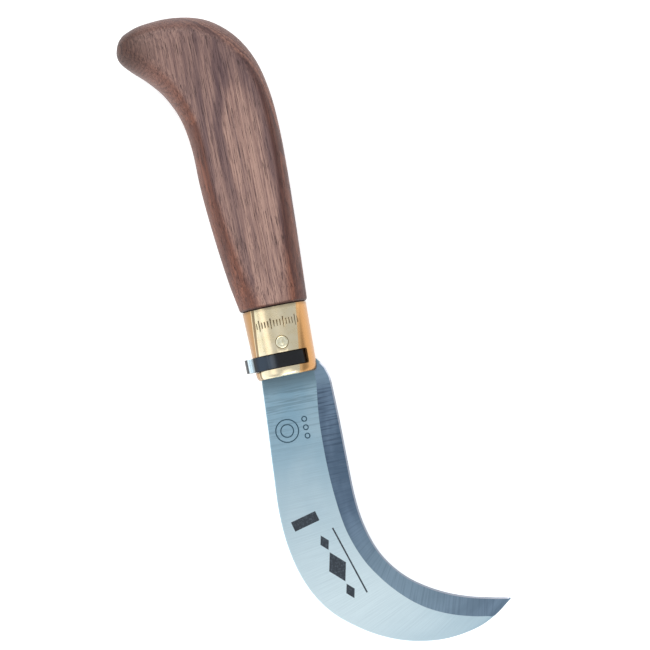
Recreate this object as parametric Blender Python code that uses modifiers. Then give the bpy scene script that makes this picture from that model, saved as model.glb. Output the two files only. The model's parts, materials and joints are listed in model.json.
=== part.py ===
"""Folding hook-bladed knife: a one-piece walnut handle, a brass ferrule with a turning lock ring,
and a curved steel blade on one rivet.

The knife lies open on its side. +X runs along the ferrule's axis from the handle towards the
blade, +Y is the cutting-edge side, and +Z stands square to the blade. Every shape is drawn about
the pivot, the point where the rivet's axis crosses the ferrule's axis. The last step moves the
whole knife, so that the world origin is the centre of the base of its bounding box.
"""

import math

import bmesh
import bpy
from mathutils import Vector

MM = 0.001  # metres in a millimetre: every length below is written in millimetres times MM

# Blade: thickness of the steel, and of the cutting edge before honing.
BLADE_THICK = 2.5 * MM
EDGE_THICK = 0.3 * MM
TANG_RADIUS = 7.75 * MM  # round root about the pivot, and half the width of the tang

# Bevelled part of the blade, from heel to tip. Each row is a section square to the edge:
# spine x, y, grind line x, y, cutting edge x, y, thickness.
BLADE_ROWS = (
    (13.8, -8.6, 13.8, 8.5, 13.8, 13.2, 2.5),
    (26.0, -9.4, 26.0, 7.0, 26.0, 13.4, 2.5),
    (40.0, -10.4, 40.0, 6.6, 40.0, 13.35, 2.5),
    (53.0, -11.1, 52.3, 7.2, 51.5, 13.4, 2.5),
    (65.0, -10.2, 62.5, 8.7, 60.2, 14.3, 2.5),
    (76.3, -7.1, 72.0, 12.1, 68.5, 16.6, 2.5),
    (85.6, -1.5, 79.6, 16.9, 74.9, 20.1, 2.5),
    (92.6, 6.4, 85.9, 22.5, 80.3, 24.9, 2.5),
    (97.6, 15.0, 90.6, 28.4, 84.6, 30.8, 2.5),
    (100.5, 23.8, 93.9, 34.9, 87.8, 36.9, 2.5),
    (101.5, 33.2, 96.0, 41.3, 90.0, 42.9, 2.5),
    (100.2, 42.7, 97.1, 46.6, 91.3, 48.0, 2.5),
    (97.4, 49.4, 97.2, 49.5, 92.2, 52.0, 2.4),
    (93.3, 55.4, 93.1, 55.4, 92.7, 55.1, 0.6),
)

# Unbevelled heel between tang and bevel: spine x, y, cutting edge side x, y.
HEEL_ROWS = (
    (5.6, -7.75, 5.6, 7.75),
    (8.0, -7.75, 6.8, 9.8),
    (8.3, -8.3, 8.4, 11.0),
    (10.6, -8.4, 10.3, 12.2),
    (12.8, -8.55, 12.8, 13.0),
)

# Handle, from the shoulder at the ferrule to the nose of the pommel. Each row is a section:
# hollow side x, y, rounded side x, y, half thickness, and how round it is (0 has flat sides with
# rounded corners, 1 is an ellipse).
HANDLE_ROWS = (
    (-11.7, -11.0, -11.7, 10.8, 10.7, 0.95),
    (-22.5, -12.65, -22.5, 11.25, 11.0, 0.55),
    (-38.0, -14.4, -38.0, 11.95, 11.0, 0.2),
    (-53.0, -15.5, -53.0, 12.5, 11.0, 0.0),
    (-66.0, -15.75, -66.5, 12.65, 11.0, 0.0),
    (-76.0, -17.4, -78.5, 11.9, 11.0, 0.0),
    (-84.0, -21.0, -89.5, 9.4, 11.0, 0.1),
    (-89.5, -25.4, -98.5, 4.3, 11.0, 0.25),
    (-93.2, -29.4, -104.9, -3.5, 10.8, 0.45),
    (-95.7, -31.9, -107.6, -13.4, 10.1, 0.7),
    (-97.6, -33.1, -107.3, -23.4, 8.7, 0.9),
    (-99.4, -33.4, -105.6, -29.2, 6.4, 1.0),
    (-100.9, -33.1, -104.1, -31.4, 3.4, 1.0),
)
HANDLE_NOSE = (-102.7 * MM, -32.4 * MM)
HANDLE_HALF = 11.0 * MM  # half thickness of the grip, whose sides are flat
NOSE_SHRINK = 0.15  # size of the last section, at the nose, against the one before it
CORNER_ACROSS = 5.5 * MM  # corner of a flat-sided section, measured across the flat
CORNER_DEEP = 8.0 * MM  # and down its side
SHOULDER_ROUND = 1.0 * MM

# Ferrule: a tapered tube, whose front rim is spun over.
FERRULE_BACK = -11.4 * MM
FERRULE_FRONT = 10.5 * MM
FERRULE_RADIUS_BACK = 10.25 * MM
FERRULE_RADIUS_FRONT = 9.7 * MM
FERRULE_WALL = 0.8 * MM
RIM_LONG = 1.9 * MM  # the spun-over rim, measured along the ferrule
RIM_DEEP = 1.0 * MM  # and towards its axis
RIM_BORE = 8.7 * MM
FERRULE_SLOT = 3.2 * MM

# Window for the lock ring's bump. Angles turn about +X from +Y (the slot) through +Z.
WINDOW_BACK = 3.1 * MM
WINDOW_FRONT = 7.85 * MM
WINDOW_START = math.radians(42)
WINDOW_END = math.radians(209)
WINDOW_CORNER = 0.5 * MM
WINDOW_CUT = (7 * MM, 13 * MM)  # inner and outer radius of the block that cuts it

# Lock ring: a strip bent into a C, with a hollow bump for the thumb.
RING_INNER = 8.1 * MM
RING_THICK = 0.75 * MM
RING_END_GAP = 0.2 * MM  # between ring and window, at each end
RING_MOUTH = math.radians(15)  # half of the C's opening, which faces +Y
BUMP_START = math.radians(129)
BUMP_END = math.radians(207)
BUMP_RISE = 3.9 * MM
BUMP_FULLNESS = 1.2  # exponent of the sine: over 1, the bump grows gently out of the strip
NOTCH_GAP = 0.35 * MM  # round the ring, where it passes under the blade's heel

# Neck of the handle inside the ferrule.
NECK_GAP = 0.2 * MM
NECK_FRONT = 10.1 * MM
SEAT_RADIUS = 7.9 * MM  # turned down where the lock ring sits, and on to the front
SEAT_BACK = 3.1 * MM
NECK_ROOT = -15.0 * MM  # how far the neck's cylinder runs back into the grip

# Blade slot in the handle.
SLOT_WIDE = 3.0 * MM
TANG_GAP = 0.35 * MM
EDGE_GAP = 1.2 * MM
CUT_PAST = 15.0 * MM  # how far a cutter runs past the wood that it cuts
FOLD = math.radians(164)  # the blade's travel from open to closed

# Rivet: a shaft with a low domed head flush with each side of the ferrule.
RIVET_RADIUS = 1.75 * MM
RIVET_HEAD_RADIUS = 2.02 * MM
RIVET_HEAD_DEEP = 0.8 * MM
RIVET_DOME = 0.15 * MM
RIVET_TOP = 10.0 * MM
RIVET_HOLE = 1.83 * MM
RIVET_HEAD_HOLE = 2.1 * MM

GRIND_SHARE = 0.78  # place of the grind line across the unbevelled heel and tang

ROWS_PER_SPAN = 4  # sections between two rows
CORNER_STEPS = 8
RIM_STEPS = 5
TURN_STEPS = 96
HOLE_STEPS = 48

COLOURS = {
    "walnut": ((0.23, 0.13, 0.10), 0.55, 0.0),
    "brass": ((0.80, 0.62, 0.30), 0.28, 1.0),
    "black_steel": ((0.03, 0.03, 0.035), 0.3, 1.0),
    "blade_steel": ((0.60, 0.65, 0.68), 0.32, 1.0),
}


# ---------------------------------------------------------------------------- scene and helpers


def clear_scene():
    for obj in list(bpy.data.objects):
        bpy.data.objects.remove(obj, do_unlink=True)


def new_collection(name):
    collection = bpy.data.collections.new(name)
    bpy.context.scene.collection.children.link(collection)
    return collection


def material(name):
    colour, roughness, metallic = COLOURS[name]
    made = bpy.data.materials.new(name)
    made.use_nodes = True
    shader = made.node_tree.nodes["Principled BSDF"]
    shader.inputs["Base Color"].default_value = (*colour, 1.0)
    shader.inputs["Roughness"].default_value = roughness
    shader.inputs["Metallic"].default_value = metallic
    return made


def add_object(name, mesh, collection, parent):
    obj = bpy.data.objects.new(name, mesh)
    collection.objects.link(obj)
    obj.parent = parent
    return obj


def finish_part(obj, finish, sharp_degrees=35):
    obj.data.materials.append(finish)
    obj.data.shade_smooth()
    obj.data.set_sharp_from_angle(angle=math.radians(sharp_degrees))


def make_cutter(obj):
    obj.hide_render = True
    obj.display_type = "WIRE"


def boolean(target, other, operation):
    modifier = target.modifiers.new(other.name, "BOOLEAN")
    modifier.operation = operation
    modifier.object = other


def polar(radius, angle):
    return radius * math.cos(angle), radius * math.sin(angle)


def rotated(point, angle):
    x, y = point
    return (
        x * math.cos(angle) - y * math.sin(angle),
        x * math.sin(angle) + y * math.cos(angle),
    )


def mix(low, high, share):
    return low + (high - low) * share


def smooth_rows(rows, steps):
    """Rows of numbers with Catmull-Rom rows between them, so each column is a smooth curve."""
    found = []
    last = len(rows) - 1
    for i in range(last):
        before, start = rows[max(i - 1, 0)], rows[i]
        end, after = rows[i + 1], rows[min(i + 2, last)]
        for step in range(steps):
            t = step / steps
            row = []
            for a, b, c, d in zip(before, start, end, after):
                bend = (2 * a - 5 * b + 4 * c - d) * t**2 + (3 * b - a - 3 * c + d) * t**3
                row.append(b + 0.5 * ((c - a) * t + bend))
            found.append(row)
    return found + [list(rows[-1])]


def loft_mesh(name, rings):
    """A closed mesh through rings that all have the same number of points, capped at both ends."""
    mesh = bpy.data.meshes.new(name)
    bm = bmesh.new()
    made = [[bm.verts.new(point) for point in ring] for ring in rings]
    for ring, following in zip(made, made[1:]):
        for i, corner in enumerate(ring):
            j = (i + 1) % len(ring)
            bm.faces.new((corner, ring[j], following[j], following[i]))
    bm.faces.new(made[0])
    bm.faces.new(made[-1])
    bmesh.ops.recalc_face_normals(bm, faces=bm.faces)
    bm.to_mesh(mesh)
    bm.free()
    return mesh


def turned(name, profile, collection, parent, steps, closed=False):
    """A profile of (radius, height) pairs turned about the object's own Z axis. It runs down its
    outer side, top to bottom. A closed profile is a tube, an open one starts and ends on the axis."""
    mesh = bpy.data.meshes.new(name)
    edges = [(i, i + 1) for i in range(len(profile) - 1)]
    if closed:
        edges.append((len(profile) - 1, 0))
    mesh.from_pydata([(radius, 0, height) for radius, height in profile], edges, [])
    obj = add_object(name, mesh, collection, parent)
    screw = obj.modifiers.new("turn", "SCREW")
    screw.axis = "Z"
    screw.steps = steps
    screw.render_steps = steps
    screw.use_merge_vertices = True
    screw.merge_threshold = 0.00001
    screw.use_smooth_shade = True
    return obj


def along_ferrule(obj):
    """Turns an object made about Z so that its Z axis lies along the ferrule's axis, +X."""
    obj.rotation_euler = (0, math.pi / 2, 0)


def plate(name, outline, thick, collection, parent, rotation=(0, 0, 0), location=(0, 0, 0)):
    """A flat outline of (x, y) points, filled and extruded evenly both ways, as a mesh."""
    curve = bpy.data.curves.new(name, "CURVE")
    curve.dimensions = "2D"
    curve.fill_mode = "BOTH"
    curve.extrude = thick / 2
    spline = curve.splines.new("POLY")
    spline.points.add(len(outline) - 1)
    for point, (x, y) in zip(spline.points, outline):
        point.co = (x, y, 0, 1)
    spline.use_cyclic_u = True
    drawn = add_object(name + "_outline", curve, collection, parent)
    drawn.rotation_euler = rotation
    drawn.location = location
    bpy.context.view_layer.update()
    evaluated = drawn.evaluated_get(bpy.context.evaluated_depsgraph_get())
    mesh = bpy.data.meshes.new_from_object(evaluated)
    bm = bmesh.new()
    bm.from_mesh(mesh)
    bmesh.ops.remove_doubles(bm, verts=bm.verts, dist=0.001 * MM)
    bmesh.ops.recalc_face_normals(bm, faces=bm.faces)
    bm.to_mesh(mesh)
    bm.free()
    obj = add_object(name, mesh, collection, parent)
    obj.matrix_world = drawn.matrix_world.copy()
    bpy.data.objects.remove(drawn, do_unlink=True)
    return obj


def box(name, low, high, collection, parent):
    mesh = bpy.data.meshes.new(name)
    bm = bmesh.new()
    bmesh.ops.create_cube(bm, size=1.0)
    for vert in bm.verts:
        for axis in range(3):
            vert.co[axis] = mix(low[axis], high[axis], vert.co[axis] + 0.5)
    bm.to_mesh(mesh)
    bm.free()
    return add_object(name, mesh, collection, parent)


def rod(name, radius, length, collection, parent):
    """A cylinder along Z, centred on the pivot."""
    mesh = bpy.data.meshes.new(name)
    bm = bmesh.new()
    bmesh.ops.create_cone(
        bm,
        cap_ends=True,
        segments=HOLE_STEPS,
        radius1=radius,
        radius2=radius,
        depth=length,
    )
    bm.to_mesh(mesh)
    bm.free()
    return add_object(name, mesh, collection, parent)


# ---------------------------------------------------------------------------------------- blade


def tang_root_rows():
    """The round root, as (spine x, y, edge side x, y), from behind the pivot to its widest."""
    rows = []
    for degrees in range(172, 89, -8):
        x, y = polar(TANG_RADIUS, math.radians(degrees))
        rows.append((x, -y, x, y))
    rows.append((0, -TANG_RADIUS, 0, TANG_RADIUS))
    return rows


def heel_rows():
    return [tuple(value * MM for value in row) for row in HEEL_ROWS]


def bevelled_rows():
    return [[value * MM for value in row] for row in smooth_rows(BLADE_ROWS, ROWS_PER_SPAN)]


def blade_section(spine, grind, edge, thick, edge_thick):
    """Six corners: spine, grind line and edge on the upper face, then back along the lower."""
    upper = [(*spine, thick / 2), (*grind, thick / 2), (*edge, edge_thick / 2)]
    return upper + [(x, y, -z) for x, y, z in reversed(upper)]


def blade_rings():
    rings = []
    for sx, sy, ex, ey in tang_root_rows() + heel_rows():
        grind = (mix(sx, ex, GRIND_SHARE), mix(sy, ey, GRIND_SHARE))
        rings.append(blade_section((sx, sy), grind, (ex, ey), BLADE_THICK, BLADE_THICK))
    for sx, sy, gx, gy, ex, ey, thick in bevelled_rows():
        thick = min(thick, BLADE_THICK)
        rings.append(blade_section((sx, sy), (gx, gy), (ex, ey), thick, EDGE_THICK))
    return rings


def ring_notch(collection, parent):
    """Cutter for the groove that lets the lock ring pass under the blade's heel."""
    inner = RING_INNER - NOTCH_GAP + 0.05 * MM
    outer = RING_INNER + RING_THICK + NOTCH_GAP
    profile = [(outer, WINDOW_FRONT), (outer, 0), (inner, 0), (inner, WINDOW_FRONT)]
    cutter = turned("ring_notch", profile, collection, parent, TURN_STEPS, closed=True)
    along_ferrule(cutter)
    make_cutter(cutter)
    return cutter


def make_blade(parts, cutters, parent, pivot_hole):
    blade = add_object("blade", loft_mesh("blade", blade_rings()), parts, parent)
    boolean(blade, ring_notch(cutters, parent), "DIFFERENCE")
    boolean(blade, pivot_hole, "DIFFERENCE")
    finish_part(blade, material("blade_steel"), sharp_degrees=6)


# --------------------------------------------------------------------------------------- handle


def handle_section(hollow, rounded, half_thick, roundness):
    """One closed section: four elliptical corners joined by flats."""
    middle = (hollow + rounded) / 2
    across = (rounded - hollow) / 2
    half_wide = across.length
    along = across.normalized()
    most = 0.97  # a sliver of flat is left between two corners, so that no points coincide
    corner_across = min(mix(CORNER_ACROSS, half_wide, roundness), most * half_wide)
    corner_deep = min(mix(CORNER_DEEP, half_thick, roundness), most * half_thick)
    points = []
    for quarter in range(4):
        side = (1, -1, -1, 1)[quarter]
        face = (1, 1, -1, -1)[quarter]
        for step in range(CORNER_STEPS + 1):
            angle = math.pi / 2 * (quarter + step / CORNER_STEPS)
            wide = side * (half_wide - corner_across) + corner_across * math.cos(angle)
            deep = face * (half_thick - corner_deep) + corner_deep * math.sin(angle)
            spot = middle + along * wide
            points.append((spot.x, spot.y, deep))
    return points


def shoulder_rings(row):
    """The shoulder's rounded rim: the first section, drawn in by a quarter circle."""
    hx, hy, rx, ry, half_thick, roundness = row
    rings = []
    for degrees in (0, 30, 60):
        inset = SHOULDER_ROUND * (1 - math.sin(math.radians(degrees)))
        x = hx + SHOULDER_ROUND * (math.cos(math.radians(degrees)) - 1)
        hollow, rounded = Vector((x, hy + inset)), Vector((x, ry - inset))
        rings.append(handle_section(hollow, rounded, half_thick - inset, roundness))
    return rings


def grip_rings():
    rows = [[value * MM for value in row[:5]] + [row[5]] for row in HANDLE_ROWS]
    rings = shoulder_rings(rows[0])
    rows[0][0] -= SHOULDER_ROUND
    rows[0][2] -= SHOULDER_ROUND
    for hx, hy, rx, ry, half_thick, roundness in smooth_rows(rows, ROWS_PER_SPAN):
        half_thick = min(half_thick, HANDLE_HALF)
        roundness = min(max(roundness, 0.0), 1.0)
        rings.append(handle_section(Vector((hx, hy)), Vector((rx, ry)), half_thick, roundness))
    nose_x, nose_y = HANDLE_NOSE
    nose = [
        (mix(nose_x, x, NOSE_SHRINK), mix(nose_y, y, NOSE_SHRINK), NOSE_SHRINK * z)
        for x, y, z in rings[-1]
    ]
    return rings + [nose]


def ferrule_radius(x):
    share = (x - FERRULE_BACK) / (FERRULE_FRONT - FERRULE_BACK)
    return mix(FERRULE_RADIUS_BACK, FERRULE_RADIUS_FRONT, share)


def neck_radius(x):
    return ferrule_radius(x) - FERRULE_WALL - NECK_GAP


def make_neck(cutters, parent):
    profile = [
        (0, NECK_FRONT),
        (SEAT_RADIUS, NECK_FRONT),
        (SEAT_RADIUS, SEAT_BACK),
        (neck_radius(SEAT_BACK), SEAT_BACK),
        (neck_radius(FERRULE_BACK), FERRULE_BACK),
        (neck_radius(FERRULE_BACK), NECK_ROOT),
        (0, NECK_ROOT),
    ]
    neck = turned("neck", profile, cutters, parent, TURN_STEPS)
    along_ferrule(neck)
    make_cutter(neck)
    return neck


def offset_path(path, distances):
    """The path moved to its left by a distance at each point."""
    moved = []
    last = len(path) - 1
    for i, (x, y) in enumerate(path):
        (ax, ay), (bx, by) = path[max(i - 1, 0)], path[min(i + 1, last)]
        length = math.hypot(bx - ax, by - ay)
        moved.append((x - (by - ay) / length * distances[i], y + (bx - ax) / length * distances[i]))
    return moved


def slot_outline():
    """The slot's floor follows the closed blade's edge and root, and the rest is outside the wood."""
    tang_side = [(0, TANG_RADIUS)] + [row[2:4] for row in heel_rows()]
    edge = [tuple(row[4:6]) for row in bevelled_rows()]
    gaps = [TANG_GAP] * 3 + [EDGE_GAP] * (len(tang_side) + len(edge) - 3)
    floor = [rotated(point, FOLD) for point in offset_path(tang_side + edge, gaps)]
    root = TANG_RADIUS + TANG_GAP
    closed_side = math.degrees(FOLD) + 90
    arc = [polar(root, math.radians(mix(270, closed_side, step / 4))) for step in range(4)]
    past_front = FERRULE_FRONT + CUT_PAST
    past_butt = Vector(floor[-1]).normalized() * (Vector(floor[-1]).length + CUT_PAST)
    far_x = HANDLE_NOSE[0] - 2 * CUT_PAST
    far_y = HANDLE_ROWS[0][3] * MM + 2 * CUT_PAST
    outside = [tuple(past_butt), (far_x, far_y), (past_front, far_y), (past_front, -root)]
    return arc + floor + outside


def make_handle(parts, cutters, parent, pivot_hole):
    handle = add_object("handle", loft_mesh("handle", grip_rings()), parts, parent)
    boolean(handle, make_neck(cutters, parent), "UNION")
    slot = plate("blade_slot", slot_outline(), SLOT_WIDE, cutters, parent)
    make_cutter(slot)
    boolean(handle, slot, "DIFFERENCE")
    boolean(handle, pivot_hole, "DIFFERENCE")
    finish_part(handle, material("walnut"))


# ----------------------------------------------------------------- ferrule, lock ring and rivet


def ferrule_profile():
    """The spun-over rim from the front face back, the outer side, then the bore."""
    rim_start = FERRULE_FRONT - RIM_LONG
    crest = ferrule_radius(rim_start) - RIM_DEEP
    profile = []
    for step in range(RIM_STEPS + 1):
        angle = math.pi / 2 * step / RIM_STEPS
        profile.append((crest + RIM_DEEP * math.sin(angle), rim_start + RIM_LONG * math.cos(angle)))
    profile.append((FERRULE_RADIUS_BACK, FERRULE_BACK))
    profile.append((FERRULE_RADIUS_BACK - FERRULE_WALL, FERRULE_BACK))
    profile.append((ferrule_radius(rim_start) - FERRULE_WALL, rim_start))
    profile.append((RIM_BORE, FERRULE_FRONT))
    return profile


def window_cutter(collection, parent):
    """A block spun about the ferrule's axis from one end of the window to the other."""
    inner, outer = WINDOW_CUT
    sides = ((WINDOW_BACK, inner), (WINDOW_FRONT, inner), (WINDOW_FRONT, outer), (WINDOW_BACK, outer))
    bm = bmesh.new()
    face = bm.faces.new([bm.verts.new((x, *polar(radius, WINDOW_START))) for x, radius in sides])
    bmesh.ops.spin(
        bm,
        geom=list(face.verts) + list(face.edges) + [face],
        axis=(1, 0, 0),
        cent=(0, 0, 0),
        angle=WINDOW_END - WINDOW_START,
        steps=TURN_STEPS // 2,
    )
    bmesh.ops.recalc_face_normals(bm, faces=bm.faces)
    corners = [edge for edge in bm.edges if is_radial_corner(edge)]
    bmesh.ops.bevel(bm, geom=corners, offset=WINDOW_CORNER, segments=4, profile=0.5, affect="EDGES")
    mesh = bpy.data.meshes.new("ring_window")
    bm.to_mesh(mesh)
    bm.free()
    cutter = add_object("ring_window", mesh, collection, parent)
    make_cutter(cutter)
    return cutter


def is_radial_corner(edge):
    """Is this edge at one of the window's four corners, running out from the axis?"""
    a, b = (vert.co for vert in edge.verts)
    angles = [math.atan2(point.z, point.y) % (2 * math.pi) for point in (a, b)]
    ends = (WINDOW_START, WINDOW_END)
    at_end = any(all(abs(angle - end) < 1e-4 for angle in angles) for end in ends)
    return at_end and abs(a.x - b.x) < 1e-7


def make_ferrule(parts, cutters, parent):
    ferrule = turned("ferrule", ferrule_profile(), parts, parent, TURN_STEPS, closed=True)
    along_ferrule(ferrule)
    low = (FERRULE_BACK - CUT_PAST, 0, -FERRULE_SLOT / 2)
    high = (FERRULE_FRONT + CUT_PAST, FERRULE_RADIUS_BACK + CUT_PAST, FERRULE_SLOT / 2)
    slot = box("ferrule_slot", low, high, cutters, parent)
    holes = rod("rivet_head_holes", RIVET_HEAD_HOLE, 3 * FERRULE_RADIUS_BACK, cutters, parent)
    for cutter in (slot, holes):
        make_cutter(cutter)
        boolean(ferrule, cutter, "DIFFERENCE")
    boolean(ferrule, window_cutter(cutters, parent), "DIFFERENCE")
    finish_part(ferrule, material("brass"))


def bump_height(angle):
    """How far the strip stands out of its circle: a swell between the bump's two ends."""
    if not BUMP_START < angle < BUMP_END:
        return 0.0
    share = (angle - BUMP_START) / (BUMP_END - BUMP_START)
    return BUMP_RISE * math.sin(math.pi * share) ** BUMP_FULLNESS


def ring_outline():
    """The strip's two faces, seen along the ferrule's axis."""
    middle = RING_INNER + RING_THICK / 2
    path = []
    for step in range(TURN_STEPS + 1):
        angle = mix(RING_MOUTH, 2 * math.pi - RING_MOUTH, step / TURN_STEPS)
        path.append(polar(middle + bump_height(angle), angle))
    inside = offset_path(path, [RING_THICK / 2] * len(path))
    outside = offset_path(path, [-RING_THICK / 2] * len(path))
    return outside + inside[::-1]


def make_lock_ring(parts, parent):
    wide = WINDOW_FRONT - WINDOW_BACK - 2 * RING_END_GAP
    ring = plate(
        "lock_ring",
        ring_outline(),
        wide,
        parts,
        parent,
        rotation=(math.pi / 2, 0, math.pi / 2),
        location=((WINDOW_BACK + WINDOW_FRONT) / 2, 0, 0),
    )
    finish_part(ring, material("black_steel"))


def make_rivet(parts, parent):
    neck = RIVET_TOP - RIVET_HEAD_DEEP
    head = [
        (0, RIVET_TOP),
        (0.6 * RIVET_HEAD_RADIUS, RIVET_TOP - 0.3 * RIVET_DOME),
        (RIVET_HEAD_RADIUS, RIVET_TOP - RIVET_DOME),
        (RIVET_HEAD_RADIUS, neck),
        (RIVET_RADIUS, neck),
    ]
    profile = head + [(radius, -height) for radius, height in reversed(head)]
    rivet = turned("pivot_rivet", profile, parts, parent, HOLE_STEPS)
    finish_part(rivet, material("brass"))


# ------------------------------------------------------------------------------------- assembly


def stand_on_base(parts, parent):
    """Moves the knife so that the origin is the centre of the base of its bounding box."""
    bpy.context.view_layer.update()
    depsgraph = bpy.context.evaluated_depsgraph_get()
    corners = []
    for obj in parts.objects:
        evaluated = obj.evaluated_get(depsgraph)
        corners += [evaluated.matrix_world @ vert.co for vert in evaluated.data.vertices]
    low = [min(corner[axis] for corner in corners) for axis in range(3)]
    high = [max(corner[axis] for corner in corners) for axis in range(3)]
    parent.location = (-(low[0] + high[0]) / 2, -(low[1] + high[1]) / 2, -low[2])


def main():
    clear_scene()
    parts = new_collection("folding_hook_knife")
    cutters = new_collection("cutters")
    pivot = add_object("pivot", None, bpy.context.scene.collection, None)
    pivot_hole = rod("pivot_hole", RIVET_HOLE, 4 * FERRULE_RADIUS_BACK, cutters, pivot)
    make_cutter(pivot_hole)
    make_handle(parts, cutters, pivot, pivot_hole)
    make_ferrule(parts, cutters, pivot)
    make_lock_ring(parts, pivot)
    make_blade(parts, cutters, pivot, pivot_hole)
    make_rivet(parts, pivot)
    stand_on_base(parts, pivot)


main()
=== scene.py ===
"""Looks for the folding hook-bladed knife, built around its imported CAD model.

Each CAD node is replaced by a finer piece of the same size: a walnut handle with its blade slot, a
spun brass ferrule with a window and tick marks, a black lock ring, a ground steel blade with a
honed edge, and a brass rivet. Every piece is drawn about the pivot, where the rivet's axis crosses
the ferrule's axis, with +X from the handle to the blade and +Y on the cutting-edge side.
"""

import json
import math

import bmesh
import bpy
from mathutils import Matrix, Vector

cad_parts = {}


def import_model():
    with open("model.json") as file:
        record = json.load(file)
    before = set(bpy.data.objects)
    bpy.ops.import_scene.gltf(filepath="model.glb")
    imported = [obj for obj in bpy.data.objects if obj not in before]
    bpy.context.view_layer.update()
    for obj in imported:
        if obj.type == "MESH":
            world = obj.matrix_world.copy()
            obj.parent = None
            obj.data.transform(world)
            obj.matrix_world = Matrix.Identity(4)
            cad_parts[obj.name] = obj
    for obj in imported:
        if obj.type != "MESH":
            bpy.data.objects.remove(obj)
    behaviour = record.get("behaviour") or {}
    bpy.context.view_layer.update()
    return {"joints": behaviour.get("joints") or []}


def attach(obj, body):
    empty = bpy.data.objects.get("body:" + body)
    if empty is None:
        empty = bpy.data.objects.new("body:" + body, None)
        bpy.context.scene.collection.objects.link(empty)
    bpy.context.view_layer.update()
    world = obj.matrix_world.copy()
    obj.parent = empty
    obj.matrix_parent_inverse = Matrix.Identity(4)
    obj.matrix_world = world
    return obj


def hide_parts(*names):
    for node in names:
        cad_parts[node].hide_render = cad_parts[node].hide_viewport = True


MM = 0.001  # metres in a millimetre

# ------------------------------ dimensions

# Blade: rows of spine x, y, grind line x, y, cutting edge x, y, thickness, from heel to tip.
BLADE_ROWS = (
    (13.8, -8.6, 13.8, 8.5, 13.8, 13.2, 2.5),
    (26.0, -9.4, 26.0, 7.0, 26.0, 13.4, 2.5),
    (40.0, -10.4, 40.0, 6.6, 40.0, 13.35, 2.5),
    (53.0, -11.1, 52.3, 7.2, 51.5, 13.4, 2.5),
    (65.0, -10.2, 62.5, 8.7, 60.2, 14.3, 2.5),
    (76.3, -7.1, 72.0, 12.1, 68.5, 16.6, 2.5),
    (85.6, -1.5, 79.6, 16.9, 74.9, 20.1, 2.5),
    (92.6, 6.4, 85.9, 22.5, 80.3, 24.9, 2.5),
    (97.6, 15.0, 90.6, 28.4, 84.6, 30.8, 2.5),
    (100.5, 23.8, 93.9, 34.9, 87.8, 36.9, 2.5),
    (101.5, 33.2, 96.0, 41.3, 90.0, 42.9, 2.5),
    (100.2, 42.7, 97.1, 46.6, 91.3, 48.0, 2.5),
    (97.4, 49.4, 97.2, 49.5, 92.2, 52.0, 2.4),
    (93.3, 55.4, 93.1, 55.4, 92.7, 55.1, 0.6),
)
HEEL_ROWS = (
    (5.6, -7.75, 5.6, 7.75),
    (8.0, -7.75, 6.8, 9.8),
    (8.3, -8.3, 8.4, 11.0),
    (10.6, -8.4, 10.3, 12.2),
    (12.8, -8.55, 12.8, 13.0),
)
BLADE_THICK = 2.5 * MM
TANG_RADIUS = 7.75 * MM
SPINE_CHAMFER = 0.2 * MM
SECONDARY_START = 0.3 * MM  # thickness behind the honed edge
HONED_WIDE = 0.55 * MM
PLUNGE_START = 7.5 * MM
PLUNGE_END = 18.0 * MM
PLUNGE_SIDE = 14.0 * MM  # the plunge is only where the edge is nearer the axis than this
HONED_THICK = 0.06 * MM
HEEL_GRIND_SIDE = 8.4 * MM
UV_SPAN = 100.0  # millimetres of blade that one unit of its map covers

# Plain pressed mark on the flat.
MARK_MIDDLE = Vector((27.6, -3.6, 0)) * MM
MARK_RADII = (3.6 * MM, 2.0 * MM)
MARK_DEEP = 0.2 * MM
DOT_COUNT = 3
DOT_STEP = 2.7 * MM
DOT_ASIDE = 6.0 * MM
DOT_RADIUS = 0.75 * MM

# Plain shapes printed on the flat. Outlines and places are in millimetres.
PRINT_THICK = 0.1 * MM
PRINT_SUNK = 0.035 * MM  # from the flat down to the print's middle plane
BAR_MIDDLE = (56.6, -3.6)
BAR_SLANT = math.radians(14)
ROW_MIDDLE = (72.6, 3.6)
ROW_SLANT = math.radians(17)
LOZENGE_STEP = 8.6
RULE_ASIDE = 4.4

# Handle: rows of hollow side x, y, rounded side x, y, half thickness, roundness.
HANDLE_ROWS = (
    (-11.7, -11.0, -11.7, 10.8, 10.7, 0.95),
    (-22.5, -12.65, -22.5, 11.25, 11.0, 0.55),
    (-38.0, -14.4, -38.0, 11.95, 11.0, 0.2),
    (-53.0, -15.5, -53.0, 12.5, 11.0, 0.0),
    (-66.0, -15.75, -66.5, 12.65, 11.0, 0.0),
    (-76.0, -17.4, -78.5, 11.9, 11.0, 0.0),
    (-84.0, -21.0, -89.5, 9.4, 11.0, 0.1),
    (-89.5, -25.4, -98.5, 4.3, 11.0, 0.25),
    (-93.2, -29.4, -104.9, -3.5, 10.8, 0.45),
    (-95.7, -31.9, -107.6, -13.4, 10.1, 0.7),
    (-97.6, -33.1, -107.3, -23.4, 8.7, 0.9),
    (-99.4, -33.4, -105.6, -29.2, 6.4, 1.0),
    (-100.9, -33.1, -104.1, -31.4, 3.4, 1.0),
)
HANDLE_NOSE = (-102.7 * MM, -32.4 * MM)
HANDLE_HALF = 11.0 * MM
CORNER_ACROSS = 5.5 * MM
CORNER_DEEP = 8.0 * MM
CORNER_MOST = 0.97  # a corner's greatest share of the half width, so that a little flat is left
NOSE_STEPS = ((0.82, 0.45), (0.5, 0.8), (0.15, 1.0))  # size, and share of the way to the nose
WOOD_SOFTEN = 0.22 * MM
SHOULDER_ROUND = 1.0 * MM

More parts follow.
